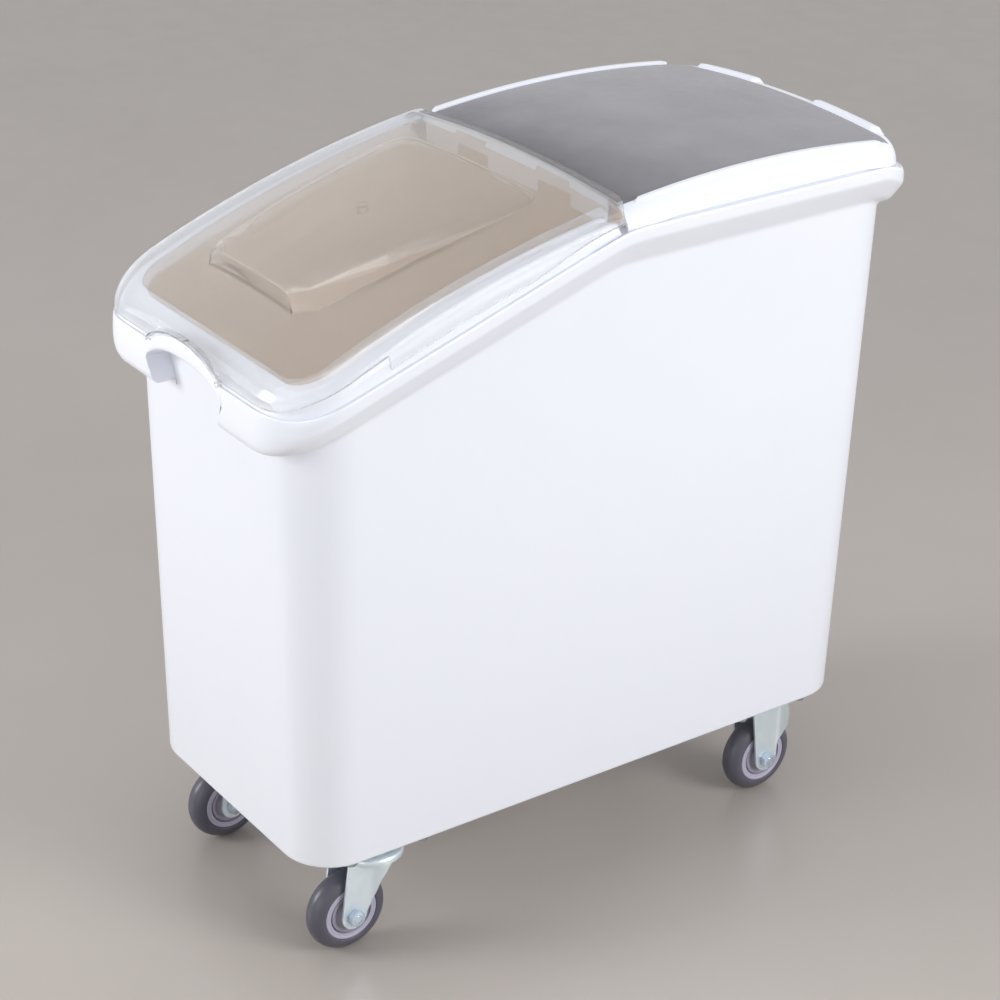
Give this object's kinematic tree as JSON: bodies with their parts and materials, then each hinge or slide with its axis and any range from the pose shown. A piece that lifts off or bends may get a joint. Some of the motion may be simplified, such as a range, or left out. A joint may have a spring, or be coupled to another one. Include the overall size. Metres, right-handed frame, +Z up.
{
  "type": "slant-front ingredient bin on casters",
  "caption": "White slant-front grain storage bin on casters with a lift-off rear lid and a clear front lid that slides back on an arc",
  "frame": {"origin": "on the floor, under the middle of the rim's box", "axes": "+X to the bin's right seen from the front, +Y from the front fascia towards the rear, +Z up"},
  "size_m": [0.348, 0.688, 0.7038],
  "materials": {
    "white_shell": "moulded, satin gloss",
    "rear_lid_shell": "milky satin moulding",
    "clear_lid": "clear polished",
    "zinc": "bright zinc plated pressing",
    "steel": "zinc plated fastener",
    "tread": "smooth grey elastomer",
    "hub": "matt moulded"
  },
  "bodies": {
    "bin": {"bin_body": "white_shell", "front_left_plate": "zinc", "front_left_race": "zinc", "front_left_kingpin": "steel", "front_left_plate_bolt_1": "steel", "front_left_plate_bolt_2": "steel", "front_left_plate_bolt_3": "steel", "front_left_plate_bolt_4": "steel", "rear_left_fork": "zinc", "rear_left_sleeve": "steel", "rear_left_axle_bolt": "zinc", "rear_left_axle_nut": "zinc", "rear_left_plate_bolt_1": "steel", "rear_left_plate_bolt_2": "steel", "rear_left_plate_bolt_3": "steel", "rear_left_plate_bolt_4": "steel", "front_right_plate": "zinc", "front_right_race": "zinc", "front_right_kingpin": "steel", "front_right_plate_bolt_1": "steel", "front_right_plate_bolt_2": "steel", "front_right_plate_bolt_3": "steel", "front_right_plate_bolt_4": "steel", "rear_right_fork": "zinc", "rear_right_sleeve": "steel", "rear_right_axle_bolt": "zinc", "rear_right_axle_nut": "zinc", "rear_right_plate_bolt_1": "steel", "rear_right_plate_bolt_2": "steel", "rear_right_plate_bolt_3": "steel", "rear_right_plate_bolt_4": "steel"},
    "rear_lid": {"rear_lid": "rear_lid_shell"},
    "front_lid": {"front_lid": "clear_lid"},
    "front_left_swivel": {"front_left_fork": "zinc", "front_left_bearing_ring": "steel", "front_left_sleeve": "steel", "front_left_axle_bolt": "zinc", "front_left_axle_nut": "zinc"},
    "front_left_wheel": {"front_left_tyre": "tread", "front_left_hub": "hub"},
    "rear_left_wheel": {"rear_left_tyre": "tread", "rear_left_hub": "hub"},
    "front_right_swivel": {"front_right_fork": "zinc", "front_right_bearing_ring": "steel", "front_right_sleeve": "steel", "front_right_axle_bolt": "zinc", "front_right_axle_nut": "zinc"},
    "front_right_wheel": {"front_right_tyre": "tread", "front_right_hub": "hub"},
    "rear_right_wheel": {"rear_right_tyre": "tread", "rear_right_hub": "hub"}
  },
  "joints": [
    {"name": "rear_lid_lift", "type": "slide", "parent": "bin", "child": "rear_lid", "axis": [0, 0, 1], "range_m": [0, 0.08]},
    {"name": "front_lid_slide", "type": "hinge", "parent": "rear_lid", "child": "front_lid", "pos_m": [0, 0.1713, -0.4224], "axis": [-1, 0, 0], "range_deg": [0, 15.3]},
    {"name": "front_left_swivel_turn", "type": "hinge", "parent": "bin", "child": "front_left_swivel", "pos_m": [-0.1105, -0.228, 0.1], "axis": [0, 0, 1], "continuous": true},
    {"name": "front_left_wheel_spin", "type": "hinge", "parent": "front_left_swivel", "child": "front_left_wheel", "pos_m": [-0.1105, -0.2558, 0.04], "axis": [1, 0, 0], "continuous": true},
    {"name": "rear_left_wheel_spin", "type": "hinge", "parent": "bin", "child": "rear_left_wheel", "pos_m": [-0.1105, 0.2395, 0.04], "axis": [1, 0, 0], "continuous": true},
    {"name": "front_right_swivel_turn", "type": "hinge", "parent": "bin", "child": "front_right_swivel", "pos_m": [0.1105, -0.228, 0.1], "axis": [0, 0, 1], "continuous": true},
    {"name": "front_right_wheel_spin", "type": "hinge", "parent": "front_right_swivel", "child": "front_right_wheel", "pos_m": [0.1105, -0.2558, 0.04], "axis": [1, 0, 0], "continuous": true},
    {"name": "rear_right_wheel_spin", "type": "hinge", "parent": "bin", "child": "rear_right_wheel", "pos_m": [0.1105, 0.2395, 0.04], "axis": [1, 0, 0], "continuous": true}
  ]
}
